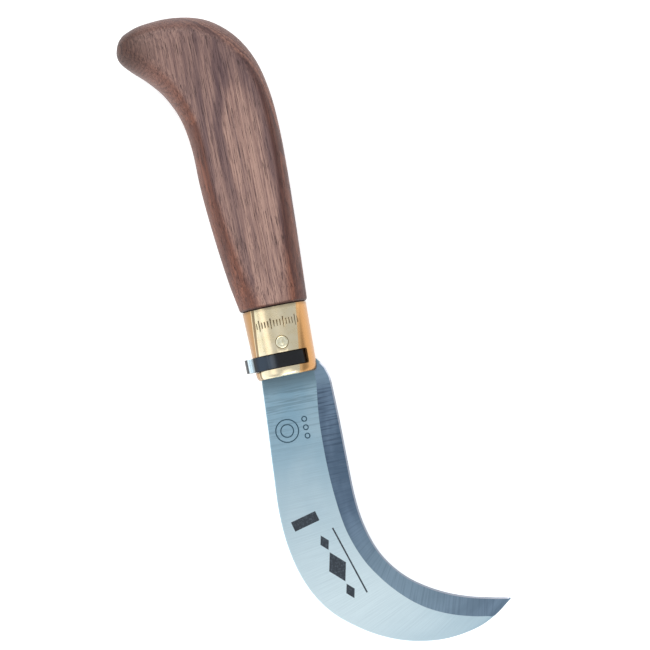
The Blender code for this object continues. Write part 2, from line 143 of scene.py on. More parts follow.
# Ferrule.
FERRULE_BACK = -11.4 * MM
FERRULE_FRONT = 10.5 * MM
FERRULE_RADIUS_BACK = 10.25 * MM
FERRULE_RADIUS_FRONT = 9.7 * MM
FERRULE_WALL = 0.8 * MM
RIM_LONG = 1.9 * MM
RIM_DEEP = 1.0 * MM
RIM_BORE = 8.7 * MM
FERRULE_SLOT = 3.2 * MM
BRASS_SOFTEN = 0.08 * MM
WINDOW_BACK = 3.1 * MM
WINDOW_FRONT = 7.85 * MM
WINDOW_START = math.radians(42)
WINDOW_END = math.radians(209)
WINDOW_CORNER = 0.5 * MM
WINDOW_CUT = (7 * MM, 13 * MM)

# Plain tick marks pressed into the brass near the wood.
TICK_COUNT = 15
TICK_START = math.radians(52)
TICK_END = math.radians(132)
TICK_MIDDLE = -6.2 * MM
TICK_LONG = (3.4 * MM, 2.0 * MM)  # every fourth one is the first length
TICK_WIDE = 0.55 * MM
TICK_DEEP = 0.2 * MM

# Lock ring.
RING_INNER = 8.1 * MM
RING_THICK = 0.75 * MM
RING_END_GAP = 0.2 * MM
RING_MOUTH = math.radians(15)
RING_CHAMFER = 0.12 * MM
BUMP_START = math.radians(129)
BUMP_END = math.radians(207)
BUMP_RISE = 3.9 * MM
BUMP_FULLNESS = 1.2
NOTCH_GAP = 0.35 * MM

# Neck, slot and rivet.
NECK_GAP = 0.2 * MM
NECK_FRONT = 10.1 * MM
SEAT_RADIUS = 7.9 * MM
SEAT_BACK = 3.1 * MM
NECK_ROOT = -15.0 * MM
SLOT_WIDE = 3.0 * MM
TANG_GAP = 0.35 * MM
EDGE_GAP = 1.2 * MM
CUT_PAST = 15.0 * MM
FOLD = math.radians(164)
RIVET_RADIUS = 1.75 * MM
RIVET_HEAD_RADIUS = 2.02 * MM
RIVET_HEAD_DEEP = 0.8 * MM
RIVET_EDGE = 0.42 * MM  # rounding of the head's rim
RIVET_TOP = 10.0 * MM
# The head's low dome and the dent of the rivet set: distance from the axis, and below the top.
RIVET_DOME = ((0, 0), (0.85, 0.01), (1.05, 0.09), (1.2, 0.05), (1.5, 0.08))
RIVET_RIM_BELOW = 0.1 * MM
RIVET_EDGE_STEPS = 6
RIVET_HOLE = 1.83 * MM
RIVET_HEAD_HOLE = 2.1 * MM

ROWS_PER_SPAN = 10
CORNER_STEPS = 14
RIM_STEPS = 10
TURN_STEPS = 192
HOLE_STEPS = 72

# Camera: square to the blade, leaning a little towards the spine and the tip.
AIM = Vector((0.2, 3.7, 11.0)) * MM
CAMERA_AWAY = 0.8
FRAME_WIDE = 205.7 * MM  # what the frame covers at the knife's middle plane
SENSOR = 36.0
FLOOR_GAP = 0.02 * MM
CAMERA_TURN = math.radians(11.3)
LEAN_BACK = math.radians(2.8)
LEAN_ALONG = math.radians(2.0)


# ------------------------------ mesh helpers


def mix(low, high, share):
    return low + (high - low) * share


def polar(radius, angle):
    return radius * math.cos(angle), radius * math.sin(angle)


def rotated(point, angle):
    x, y = point
    return (
        x * math.cos(angle) - y * math.sin(angle),
        x * math.sin(angle) + y * math.cos(angle),
    )


def smooth_rows(rows, steps):
    """Rows of numbers with Catmull-Rom rows between them, so each column is a smooth curve."""
    found = []
    last = len(rows) - 1
    for i in range(last):
        before, start = rows[max(i - 1, 0)], rows[i]
        end, after = rows[i + 1], rows[min(i + 2, last)]
        for step in range(steps):
            t = step / steps
            row = []
            for a, b, c, d in zip(before, start, end, after):
                bend = (2 * a - 5 * b + 4 * c - d) * t**2 + (3 * b - a - 3 * c + d) * t**3
                row.append(b + 0.5 * ((c - a) * t + bend))
            found.append(row)
    return found + [list(rows[-1])]


def offset_path(path, distances):
    """The path moved to its left by a distance at each point."""
    moved = []
    last = len(path) - 1
    for i, (x, y) in enumerate(path):
        (ax, ay), (bx, by) = path[max(i - 1, 0)], path[min(i + 1, last)]
        length = math.hypot(bx - ax, by - ay)
        moved.append((x - (by - ay) / length * distances[i], y + (bx - ax) / length * distances[i]))
    return moved


def add_object(name, mesh):
    obj = bpy.data.objects.new(name, mesh)
    bpy.context.scene.collection.objects.link(obj)
    return obj


def mesh_from(name, bm):
    mesh = bpy.data.meshes.new(name)
    bmesh.ops.recalc_face_normals(bm, faces=bm.faces)
    bm.to_mesh(mesh)
    bm.free()
    return mesh


def loft(name, rings):
    """A closed object through rings of equal length, capped at both ends."""
    bm = bmesh.new()
    made = [[bm.verts.new(point) for point in ring] for ring in rings]
    for ring, following in zip(made, made[1:]):
        for i, corner in enumerate(ring):
            j = (i + 1) % len(ring)
            bm.faces.new((corner, ring[j], following[j], following[i]))
    bm.faces.new(made[0])
    bm.faces.new(made[-1])
    return add_object(name, mesh_from(name, bm))


def turned(name, profile, steps, closed=False, axis="Z"):
    """A profile of (radius, height) pairs turned about an axis. A closed profile is a tube."""
    bm = bmesh.new()
    angles = [2 * math.pi * step / steps for step in range(steps)]
    columns = []
    for radius, height in profile:
        if radius == 0:
            columns.append([bm.verts.new((0, 0, height))] * steps)
        else:
            columns.append([bm.verts.new((*polar(radius, angle), height)) for angle in angles])
    pairs = list(zip(columns, columns[1:]))
    if closed:
        pairs.append((columns[-1], columns[0]))
    for upper, lower in pairs:
        for i in range(steps):
            j = (i + 1) % steps
            corners = [upper[i], upper[j], lower[j], lower[i]]
            unique = [c for k, c in enumerate(corners) if c not in corners[:k]]
            bm.faces.new(unique)
    mesh = mesh_from(name, bm)
    if axis == "X":
        mesh.transform(Matrix.Rotation(math.pi / 2, 4, "Y"))
    return add_object(name, mesh)


def plate(name, outline, thick):
    """A flat outline of (x, y) points, filled and extruded evenly both ways."""
    bm = bmesh.new()
    face = bm.faces.new([bm.verts.new((x, y, -thick / 2)) for x, y in outline])
    made = bmesh.ops.extrude_face_region(bm, geom=[face])
    raised = [item for item in made["geom"] if isinstance(item, bmesh.types.BMVert)]
    bmesh.ops.translate(bm, verts=raised, vec=(0, 0, thick))
    return add_object(name, mesh_from(name, bm))


def carve(obj, *steps):
    """Applies Boolean steps of (operation, other object), then removes the other objects."""
    for operation, other in steps:
        modifier = obj.modifiers.new(other.name, "BOOLEAN")
        modifier.operation = operation
        modifier.object = other
    keep_result(obj)
    for _, other in steps:
        if other.name in bpy.data.objects:
            bpy.data.objects.remove(other, do_unlink=True)


def keep_result(obj):
    """Swaps the object's mesh for what its modifiers make, and removes them."""
    bpy.context.view_layer.update()
    evaluated = obj.evaluated_get(bpy.context.evaluated_depsgraph_get())
    mesh = bpy.data.meshes.new_from_object(evaluated)
    obj.modifiers.clear()
    obj.data = mesh


def shade(obj, sharp_degrees):
    """Smooth shading between sharp edges, where each large face keeps its own direction."""
    obj.data.shade_smooth()
    obj.data.set_sharp_from_angle(angle=math.radians(sharp_degrees))
    weighted = obj.modifiers.new("by_area", "WEIGHTED_NORMAL")
    weighted.keep_sharp = True
    keep_result(obj)


def soften_edges(obj, width, sharp_degrees, segments=2):
    """Rounds every edge sharper than the angle, so that it catches the light."""
    bevel = obj.modifiers.new("soften", "BEVEL")
    bevel.width = width
    bevel.segments = segments
    bevel.limit_method = "ANGLE"
    bevel.angle_limit = math.radians(sharp_degrees)
    bevel.use_clamp_overlap = True
    keep_result(obj)


# ------------------------------ material helpers


def set_inputs(node, **values):
    """Sets plain values on a node's sockets. An underscore stands for a space in a socket's name."""
    for socket, value in values.items():
        node.inputs[socket.replace("_", " ")].default_value = value


def start_material(name, **sockets):
    """A material with a Principled shader whose plain values are set on its own sockets."""
    made = bpy.data.materials.new(name)
    made.use_nodes = True
    shader = made.node_tree.nodes["Principled BSDF"]
    set_inputs(shader, **sockets)
    return made, made.node_tree, shader


def put(tree, socket, value):
    """Links a node's output to the socket, or sets a plain value on it."""
    if isinstance(value, bpy.types.NodeSocket):
        tree.links.new(value, socket)
    elif hasattr(value, "__len__") and len(value) == 3 and len(socket.default_value) == 4:
        socket.default_value = (*value, 1.0)
    else:
        socket.default_value = value


def math_node(tree, operation, a, b=0.0, clamp=False):
    node = tree.nodes.new("ShaderNodeMath")
    node.operation = operation
    node.use_clamp = clamp
    put(tree, node.inputs[0], a)
    put(tree, node.inputs[1], b)
    return node.outputs[0]


def times(tree, a, b):
    return math_node(tree, "MULTIPLY", a, b)


def plus(tree, a, b):
    return math_node(tree, "ADD", a, b)


def minus(tree, a, b):
    return math_node(tree, "SUBTRACT", a, b)


def between(tree, value, low, high, to_low=0.0, to_high=1.0):
    """A smooth step of the value from one range to another."""
    node = tree.nodes.new("ShaderNodeMapRange")
    node.interpolation_type = "SMOOTHSTEP"
    put(tree, node.inputs["Value"], value)
    set_inputs(node, From_Min=low, From_Max=high, To_Min=to_low, To_Max=to_high)
    return node.outputs[0]


def swell(tree, value, places):
    """Rises from 0 to 1 over the first two places, and falls back over the last two."""
    start, full, fade, end = places
    return times(tree, between(tree, value, start, full), between(tree, value, end, fade))


def blend_colour(tree, factor, a, b, kind="MIX"):
    node = tree.nodes.new("ShaderNodeMix")
    node.data_type = "RGBA"
    node.blend_type = kind
    put(tree, node.inputs["Factor"], factor)
    put(tree, node.inputs[6], a)
    put(tree, node.inputs[7], b)
    return node.outputs[2]


def scaled(tree, vector, scale, location=(0, 0, 0)):
    node = tree.nodes.new("ShaderNodeMapping")
    put(tree, node.inputs["Vector"], vector)
    set_inputs(node, Scale=scale, Location=location)
    return node.outputs[0]


def noise(tree, place, scale, shift=(0, 0, 0), detail=2.0, rough=0.5, distortion=0.0):
    vector = scaled(tree, place, scale, shift)
    node = tree.nodes.new("ShaderNodeTexNoise")
    put(tree, node.inputs["Vector"], vector)
    set_inputs(node, Scale=1.0, Detail=detail, Roughness=rough, Distortion=distortion)
    return node.outputs[0]


def ramp(tree, value, stops):
    """A grey ramp through (place, brightness) stops."""
    node = tree.nodes.new("ShaderNodeValToRGB")
    node.color_ramp.interpolation = "B_SPLINE"
    put(tree, node.inputs[0], value)
    elements = node.color_ramp.elements
    while len(elements) < len(stops):
        elements.new(0.5)
    for element, (place, level) in zip(elements, stops):
        element.position = place
        element.color = (level, level, level, 1.0)
    return node.outputs[0]


def paint(tree, shader, tone, height, depth, rough=None):
    """Links the colour, the fine relief and a roughness that varies to the shader."""
    put(tree, shader.inputs["Base Color"], tone)
    if rough is not None:
        put(tree, shader.inputs["Roughness"], rough)
    node = tree.nodes.new("ShaderNodeBump")
    set_inputs(node, Strength=1.0, Distance=depth)
    put(tree, node.inputs["Height"], height)
    put(tree, shader.inputs["Normal"], node.outputs[0])


def place_in_mm(tree):
    """The surface's place about the pivot in millimetres, as a vector and its three numbers."""
    coords = tree.nodes.new("ShaderNodeTexCoord")
    place = scaled(tree, coords.outputs["Object"], (1 / MM, 1 / MM, 1 / MM))
    split = tree.nodes.new("ShaderNodeSeparateXYZ")
    put(tree, split.inputs[0], place)
    return place, split.outputs


def facing_up(tree):
    """How squarely the surface faces along the object's own Z, from 0 on its sides to 1."""
    coords = tree.nodes.new("ShaderNodeTexCoord")
    split = tree.nodes.new("ShaderNodeSeparateXYZ")
    put(tree, split.inputs[0], coords.outputs["Normal"])
    return math_node(tree, "ABSOLUTE", split.outputs[2])


def section_uv(tree):
    """Along the blade and across it, in millimetres."""
    node = tree.nodes.new("ShaderNodeUVMap")
    node.uv_map = "along_across"
    place = scaled(tree, node.outputs[0], (UV_SPAN, UV_SPAN, 0))
    split = tree.nodes.new("ShaderNodeSeparateXYZ")
    put(tree, split.inputs[0], place)
    return place, split.outputs


# ------------------------------ materials

WALNUT_PALE = (0.50, 0.300, 0.238)
WALNUT_MID = (0.300, 0.166, 0.134)
WALNUT_DARK = (0.088, 0.046, 0.054)
WALNUT_SIDE_RED_AND_SHADE = (0.67, 0.41, 0.30)  # multiplies the grain's colour on the rounded sides: a redder tone with painted shade
WALNUT_POMMEL = (0.88, 0.87, 0.88)  # at the pommel
WALNUT_NOSE = (0.42, 0.38, 0.36)  # and at its nose
# Dark brown of the pores, also used for the painted shade on the shoulder.
PORE_AND_SHADE_BROWN = (0.055, 0.030, 0.028)
PITH_SIDE = 0.7  # millimetres from the handle's axis to the middle of the growth rings
PITH_DEEP = 18.0  # millimetres from the flat face to the middle of the growth rings
PITH_FALL_FROM = -68.0  # past here the rings dip away under the face, so they close into arches
PITH_FALL = 0.06
GRAIN_FLAT_FROM = -48.0  # from here to the ferrule the rings hardly follow the rounding of the wood
GRAIN_FLAT = 0.1
LAYER = 0.8  # millimetres of growth in a year
# Millimetres from the pivot between which a colour comes in: the sides' red tone with painted shade, the
# pommel's and the nose's tones, the shoulder's painted shade, and the painted shade of more dark growth
# lines towards +Y.
SIDE_RED_AND_SHADE_ALONG = (-100.0, -70.0)
POMMEL_ALONG = (-76.0, -92.0)
NOSE_ACROSS = (-16.0, -31.0)
NOSE_ALONG = (-86.0, -97.0)
SHOULDER_SHADE_ALONG = (-12.6, -11.8)
SIDE_SHADE_ACROSS = (-16.0, -4.0)
# Darker growth: radius in millimetres, and how dark the wood is there.
GROWTH_RINGS = (
    (16.0, 0.25), (16.8, 0.35), (17.4, 0.1), (18.7, 0.0), (19.05, 0.6), (19.35, 1.0), (19.7, 0.75),
    (20.3, 0.35), (21.2, 0.35), (21.7, 0.9), (22.1, 0.6), (22.8, 0.3), (23.6, 0.7), (24.5, 0.25),
    (26.0, 0.5), (28.0, 0.2),
)


def growth_rings(tree, place, xyz):
    """The distance from the pith, and how dark the growth is there."""
    wander = noise(tree, place, (0.02, 0.07, 0.07), detail=3)
    wander = times(tree, minus(tree, wander, 0.5), 2.4)
    wiggle = noise(tree, place, (0.09, 0.5, 0.5), (7, 3, 1), detail=4)
    wiggle = times(tree, minus(tree, wiggle, 0.5), 1.2)
    across = minus(tree, plus(tree, xyz[1], wander), PITH_SIDE)
    past = math_node(tree, "MAXIMUM", minus(tree, PITH_FALL_FROM, xyz[0]), 0.0)
    below_face = minus(tree, HANDLE_HALF / MM, xyz[2])
    follow = between(tree, xyz[0], PITH_FALL_FROM - 10.0, GRAIN_FLAT_FROM, 1.0, GRAIN_FLAT)
    deep = minus(tree, PITH_DEEP, times(tree, below_face, follow))
    deep = plus(tree, deep, times(tree, past, PITH_FALL))
    deep = plus(tree, deep, wiggle)
    radius = length_of(tree, across, deep)
    first, last = GROWTH_RINGS[0][0], GROWTH_RINGS[-1][0]
    share = math_node(tree, "DIVIDE", minus(tree, radius, first), last - first, clamp=True)
    stops = [((r - first) / (last - first), level) for r, level in GROWTH_RINGS]
    return radius, ramp(tree, share, stops)


def length_of(tree, a, b):
    """The length of the vector with these two numbers."""
    squares = [times(tree, number, number) for number in (a, b)]
    return math_node(tree, "SQRT", plus(tree, *squares))


def walnut():
    """Oiled walnut: fibres, growth rings and pores; its rounded sides are redder and darker, a redder
    tone with painted shade, and its shoulder by the ferrule has painted shade.
    """
    made, tree, shader = start_material(
        "oiled_walnut", Roughness=0.5, Coat_Weight=0.05, Coat_Roughness=0.4, Specular_IOR_Level=0.35
    )
    place, xyz = place_in_mm(tree)
    radius, ring = growth_rings(tree, place, xyz)
    fibres = noise(tree, place, (0.03, 1.7, 1.7), detail=6, rough=0.75, distortion=0.25)
    fine = noise(tree, place, (0.07, 5.5, 5.5), detail=3, rough=0.65)
    patchy = noise(tree, place, (0.035, 0.2, 0.2), (3, 9, 5), detail=3)
    ring = times(tree, ring, between(tree, patchy, 0.3, 0.55, 0.6, 1.0))
    ring = times(tree, ring, between(tree, fibres, 0.62, 0.40, 0.72, 1.0))
    side = between(tree, facing_up(tree), 0.9995, 0.80)
    layer = math_node(tree, "FRACT", math_node(tree, "DIVIDE", radius, LAYER))
    # Painted shade: more dark growth lines show on the rounded sides, most towards +Y.
    rim = times(tree, side, between(tree, xyz[1], *SIDE_SHADE_ACROSS, 0.05, 0.42))
    shown = plus(tree, between(tree, patchy, 0.4, 0.62, 0.08, 0.35), rim)
    late = times(tree, between(tree, layer, 0.3, 0.95), shown)

    tone = blend_colour(tree, between(tree, fibres, 0.33, 0.58), WALNUT_MID, WALNUT_PALE)
    tone = blend_colour(tree, late, tone, WALNUT_DARK)
    tone = blend_colour(tree, ring, tone, WALNUT_DARK)
    tone = blend_colour(tree, between(tree, fine, 0.48, 0.62, 0.0, 0.60), tone, WALNUT_DARK)

    pores = noise(tree, place, (0.14, 4.0, 4.0), (11, 5, 2), detail=2, rough=0.6)
    pore = between(tree, pores, 0.60, 0.67)
    tone = blend_colour(tree, times(tree, pore, 0.75), tone, PORE_AND_SHADE_BROWN)

    # Painted shade with a redder tone on the rounded sides, weaker towards the pommel.
    side = times(tree, side, between(tree, xyz[0], *SIDE_RED_AND_SHADE_ALONG, 0.5, 1.0))
    tone = blend_colour(tree, side, tone, WALNUT_SIDE_RED_AND_SHADE, "MULTIPLY")
    pommel = between(tree, xyz[0], *POMMEL_ALONG)
    tone = blend_colour(tree, pommel, tone, WALNUT_POMMEL, "MULTIPLY")
    nose = times(tree, between(tree, xyz[1], *NOSE_ACROSS), between(tree, xyz[0], *NOSE_ALONG))
    tone = blend_colour(tree, nose, tone, WALNUT_NOSE, "MULTIPLY")
    # Painted shade on the shoulder's rounded rim, in the gap against the ferrule.
    shoulder = between(tree, xyz[0], *SHOULDER_SHADE_ALONG)
    tone = blend_colour(tree, times(tree, shoulder, 0.8), tone, PORE_AND_SHADE_BROWN)

    rough = plus(tree, times(tree, fibres, 0.2), 0.42)
    rough = plus(tree, rough, times(tree, pore, 0.3))
    height = minus(tree, times(tree, fine, 0.5), pore)
    paint(tree, shader, tone, height, 0.08 * MM, rough)
    return made


BRASS = (0.90, 0.73, 0.47)
BRASS_WORN = (0.93, 0.79, 0.56)
# Orange tones of the painted reflection down the ferrule's sides.
BRASS_SIDE_REFLECTION = (0.55, 0.285, 0.110)
BRASS_SIDE_REFLECTION_NEAR = (1.0, 0.56, 0.24)
BRASS_SIDE_REFLECTION_FAR = (0.42, 0.235, 0.105)
# Dark brown: grime in the pressed marks, the darker brass by the wood, and a painted dark reflection
# line.
GRIME_AND_SHADE = (0.16, 0.10, 0.05)
# Degrees round the ferrule from its +Y side, less the lean for each millimetre along it: where the
# painted orange reflection of each side starts, a painted dark reflection line beside it, and where the
# +Y side's painted reflection is darkest.
SIDE_REFLECTION_LEAN = 0.8
SIDE_REFLECTION_FROM = (59.8, 57.8)
SIDE_REFLECTION_PAST = (147.4, 148.9)
DARK_REFLECTION_LINE = (138.5, 141.0, 146.0, 148.0)
SIDE_REFLECTION_DEEPEST = (57.0, 49.0)
# Millimetres along the ferrule, and below its surface, between which the dark brown comes in: darker
# towards the wood, and grime in the pressed marks.
DARKENS_BY_WOOD = (-10.2, -11.4)
TICKS_ALONG = (-3.6, -4.1)
TICKS_BELOW = (0.03, 0.13)


def degrees_round(tree, xyz):
    """The angle about the ferrule's axis in degrees, from 0 at +Y to 180 at -Y, on either face."""
    turn = math_node(tree, "ARCTAN2", xyz[2], xyz[1])
    return math_node(tree, "ABSOLUTE", math_node(tree, "DEGREES", turn))


def below_surface(tree, xyz):
    """How far inside the ferrule's outer cone each point lies, in millimetres."""
    slope = (FERRULE_RADIUS_FRONT - FERRULE_RADIUS_BACK) / (FERRULE_FRONT - FERRULE_BACK)
    outer = plus(tree, times(tree, xyz[0], slope), ferrule_radius(0) / MM)
    return minus(tree, outer, length_of(tree, xyz[1], xyz[2]))


def brass():
    """Spun brass, polished on its faces, with a painted orange reflection down its sides and a painted
    dark reflection line beside the -Y one, darker towards the wood, and dark in the pressed marks.
    """
    made, tree, shader = start_material("brass_spun", Metallic=1.0, Roughness=0.3)
    place, xyz = place_in_mm(tree)
    turned_lines = noise(tree, place, (7.0, 0.15, 0.15), detail=4, rough=0.7)
    patches = noise(tree, place, (0.35, 0.35, 0.35), detail=4, rough=0.6)
    tone = blend_colour(tree, between(tree, patches, 0.35, 0.7), BRASS, BRASS_WORN)
    # Painted reflection: the brass turns orange down both sides, deepest on the +Y side.
    angle = degrees_round(tree, xyz)
    angle = minus(tree, angle, times(tree, xyz[0], SIDE_REFLECTION_LEAN))
    tone = blend_colour(tree, between(tree, angle, *SIDE_REFLECTION_FROM), tone, BRASS_SIDE_REFLECTION_NEAR)
    tone = blend_colour(tree, between(tree, angle, *SIDE_REFLECTION_DEEPEST), tone, BRASS_SIDE_REFLECTION)
    tone = blend_colour(tree, between(tree, angle, *SIDE_REFLECTION_PAST), tone, BRASS_SIDE_REFLECTION_FAR)
    # Painted reflection: a dark line beside the -Y side's orange.
    dark_reflection = swell(tree, angle, DARK_REFLECTION_LINE)
    tone = blend_colour(tree, times(tree, dark_reflection, 0.85), tone, GRIME_AND_SHADE)
    # The brass darkens in patches towards the wood.
    by_wood = between(tree, xyz[0], *DARKENS_BY_WOOD)
    by_wood = times(tree, by_wood, between(tree, patches, 0.3, 0.6, 0.4, 1.0))
    tone = blend_colour(tree, times(tree, by_wood, 0.6), tone, GRIME_AND_SHADE)
    pressed = between(tree, below_surface(tree, xyz), *TICKS_BELOW)
    pressed = times(tree, pressed, between(tree, xyz[0], *TICKS_ALONG))
    tone = blend_colour(tree, times(tree, pressed, 0.85), tone, GRIME_AND_SHADE)
    rough = plus(tree, times(tree, patches, 0.05), 0.25)
    paint(tree, shader, tone, turned_lines, 0.004 * MM, rough)
    return made


RIVET_DULL = (0.80, 0.70, 0.46)
RIVET_BRIGHT = (0.96, 0.90, 0.70)


def rivet_brass():
    """Brass with the shallow dents of the hammer that set it."""
    made, tree, shader = start_material("brass_rivet", Metallic=1.0, Roughness=0.34)
    place, _ = place_in_mm(tree)
    patches = noise(tree, place, (1.6, 1.6, 1.6), detail=4, rough=0.65)
    tone = blend_colour(tree, between(tree, patches, 0.3, 0.7), RIVET_DULL, RIVET_BRIGHT)
    hammered = noise(tree, place, (1.1, 1.1, 1.1), detail=2)
    paint(tree, shader, tone, hammered, 0.05 * MM)
    return made


BLACK = (0.0015, 0.001, 0.002)
BLACK_SCUFFED = (0.005, 0.005, 0.009)
BLUE_REFLECTION = (0.034, 0.050, 0.074)
BARE_STEEL_HIGHLIGHT = (0.62, 0.72, 0.78)
LUG_HIGHLIGHT = (148.0, 152.0, 158.0, 161.0)  # degrees about the ferrule where bare steel is painted on the lug as its highlight
BLUE_REFLECTION_ROUND = (104.0, 122.0, 140.0, 150.0)  # and where a painted blue reflection lies on the strip
LUG_STANDS = (10.4, 10.9)  # millimetres from the axis, past which only the lug reaches


def black_oxide():
    """Blackened steel with a painted blue reflection band, and bare steel painted on the flank of the
    lug as its highlight.
    """
    made, tree, shader = start_material("black_oxide", Roughness=0.16, IOR=1.5)
    place, xyz = place_in_mm(tree)
    scuffs = noise(tree, place, (1.2, 0.5, 0.5), detail=5, rough=0.7)
    angle = degrees_round(tree, xyz)
    # Painted highlight: bare, metallic steel on the flank of the lug, where it catches the light.
    worn = swell(tree, angle, LUG_HIGHLIGHT)
    worn = times(tree, worn, between(tree, length_of(tree, xyz[1], xyz[2]), *LUG_STANDS))
    worn = times(tree, worn, between(tree, scuffs, 0.2, 0.5, 0.7, 1.0))
    tone = blend_colour(tree, between(tree, scuffs, 0.4, 0.75), BLACK, BLACK_SCUFFED)
    # Painted reflection: a blue band round the strip on its -Y half.
    blue_reflection = swell(tree, angle, BLUE_REFLECTION_ROUND)
    tone = blend_colour(tree, blue_reflection, tone, BLUE_REFLECTION)
    tone = blend_colour(tree, worn, tone, BARE_STEEL_HIGHLIGHT)
    put(tree, shader.inputs["Metallic"], worn)
    brushed = noise(tree, place, (9.0, 0.4, 0.4), detail=3)
    rough = plus(tree, times(tree, scuffs, 0.16), 0.1)
    paint(tree, shader, tone, brushed, 0.003 * MM, rough)
    return made


# Blue-grey steel tones painted as reflection; the first is also the dark of the grinding lines.
STEEL_SHADE = (0.18, 0.26, 0.31)
STEEL_COOL = (0.29, 0.465, 0.58)
STEEL_BRIGHT = (0.69, 0.79, 0.82)
STEEL_TIP = (0.32, 0.46, 0.55)
# Millimetres along the blade's middle, from its root, between which a tone comes in: the grinding lines,
# the painted reflection that brightens towards the belly and fades at the tip, and the painted shade by
# the ferrule.
FLAT_LINED = (52.0, 20.0)
FLAT_REFLECTION_BRIGHTENS = (18.0, 95.0)
FLAT_REFLECTION_FADES = (88.0, 150.0)
FLAT_SHADE_BY_FERRULE = (25.0, 20.5)


def blade_flat():
    """Satin steel in blue-grey tones painted as reflection, with painted shade by the ferrule, and
    grinding lines across the blade, strongest near the ferrule.
    """
    made, tree, shader = start_material("steel_flat", Metallic=1.0, Roughness=0.34)
    place, uv = section_uv(tree)
    bands = noise(tree, place, (1.35, 0.045, 1.0), detail=3, rough=0.65, distortion=0.6)
    lines = noise(tree, place, (5.0, 0.05, 1.0), (2, 3, 0), detail=4, rough=0.7)
    clouds = noise(tree, place, (0.06, 0.09, 1.0), (5, 1, 0), detail=3)
    near = between(tree, uv[0], *FLAT_LINED)
    # Painted reflection: the flat brightens towards the belly and fades again towards the tip.
    tone = blend_colour(tree, between(tree, uv[0], *FLAT_REFLECTION_BRIGHTENS), STEEL_COOL, STEEL_BRIGHT)
    tone = blend_colour(tree, between(tree, uv[0], *FLAT_REFLECTION_FADES), tone, STEEL_TIP)
    tone = blend_colour(tree, between(tree, clouds, 0.35, 0.7, 0.0, 0.25), tone, STEEL_BRIGHT)
    # Painted shade on the flat just by the ferrule.
    shade_by_ferrule = between(tree, uv[0], *FLAT_SHADE_BY_FERRULE)
    tone = blend_colour(tree, times(tree, shade_by_ferrule, 0.8), tone, STEEL_SHADE)
    dark = times(tree, between(tree, bands, 0.47, 0.62), near)
    tone = blend_colour(tree, times(tree, dark, 0.62), tone, STEEL_SHADE)
    tone = blend_colour(tree, between(tree, lines, 0.35, 0.75, 0.0, 0.2), tone, STEEL_SHADE)
    rough = plus(tree, times(tree, lines, 0.16), 0.26)
    coarse = times(tree, times(tree, bands, near), 1.5)
    height = plus(tree, lines, coarse)
    paint(tree, shader, tone, height, 0.006 * MM, rough)
    return made


# Bevel tones painted as reflection, darker than the flat's; the line and scratch tones are grinding
# marks.
BEVEL_DEEP = (0.125, 0.182, 0.262)
BEVEL_PALE = (0.21, 0.29, 0.40)
BEVEL_REFLECTION = (0.36, 0.48, 0.58)
BEVEL_LINE = (0.07, 0.10, 0.15)
BEVEL_SCRATCH = (0.26, 0.33, 0.42)
HEEL_REFLECTION = (0.27, 0.37, 0.47)
BEVEL_LINED = (60.0, 26.0)
BEVEL_REFLECTION_GROWS = (62.0, 92.0)
BEVEL_REFLECTION_FADES = (135.0, 95.0)
BEVEL_REFLECTION_BY_HEEL = (26.0, 21.0)


def blade_bevel():
    """Ground bevel with short lines square to the edge, painted darker than the flat as reflection, and
    lighter as painted reflection along the belly and by the heel.
    """
    made, tree, shader = start_material("steel_bevel", Metallic=1.0, Roughness=0.4)
    place, uv = section_uv(tree)
    lines = noise(tree, place, (3.2, 0.12, 1.0), (9, 2, 0), detail=4, rough=0.7)
    bands = noise(tree, place, (1.3, 0.05, 1.0), (4, 8, 0), detail=3, rough=0.6)
    clouds = noise(tree, place, (0.05, 0.15, 1.0), detail=3)
    near = between(tree, uv[0], *BEVEL_LINED, 0.3, 1.0)
    tone = blend_colour(tree, between(tree, clouds, 0.35, 0.7), BEVEL_DEEP, BEVEL_PALE)
    # Painted reflection: the bevel is lighter along the belly, fading towards the tip.
    low = between(tree, uv[0], *BEVEL_REFLECTION_GROWS, 0.0, 0.75)
    low = times(tree, low, between(tree, uv[0], *BEVEL_REFLECTION_FADES, 0.3, 1.0))
    tone = blend_colour(tree, low, tone, BEVEL_REFLECTION)
    dark = times(tree, between(tree, bands, 0.46, 0.62), near)
    tone = blend_colour(tree, times(tree, dark, 0.7), tone, BEVEL_LINE)
    tone = blend_colour(tree, between(tree, lines, 0.5, 0.75, 0.0, 0.3), tone, BEVEL_SCRATCH)
    # Painted reflection: the bevel is lighter by the heel.
    heel_reflection = between(tree, uv[0], *BEVEL_REFLECTION_BY_HEEL, 0.0, 0.7)
    tone = blend_colour(tree, heel_reflection, tone, HEEL_REFLECTION)
    rough = plus(tree, times(tree, lines, 0.2), 0.28)
    paint(tree, shader, tone, lines, 0.008 * MM, rough)
    return made


# Honed steel: bright partly from its polish and partly as a painted glint, duller in its stoning lines.
HONED_GLINT = (0.66, 0.67, 0.74)
HONED_DULL = (0.46, 0.49, 0.57)


def blade_edge():
    """The honed edge: fine-stoned steel, bright partly from its polish and partly as a painted glint."""
    made, tree, shader = start_material("steel_honed", Metallic=1.0, Roughness=0.28)
    place, _ = section_uv(tree)
    lines = noise(tree, place, (6.0, 1.0, 1.0), detail=4, rough=0.7)
    tone = blend_colour(tree, between(tree, lines, 0.3, 0.75), HONED_GLINT, HONED_DULL)
    paint(tree, shader, tone, lines, 0.004 * MM)
    return made


INK = (0.040, 0.048, 0.060)
INK_WORN = (0.10, 0.12, 0.145)


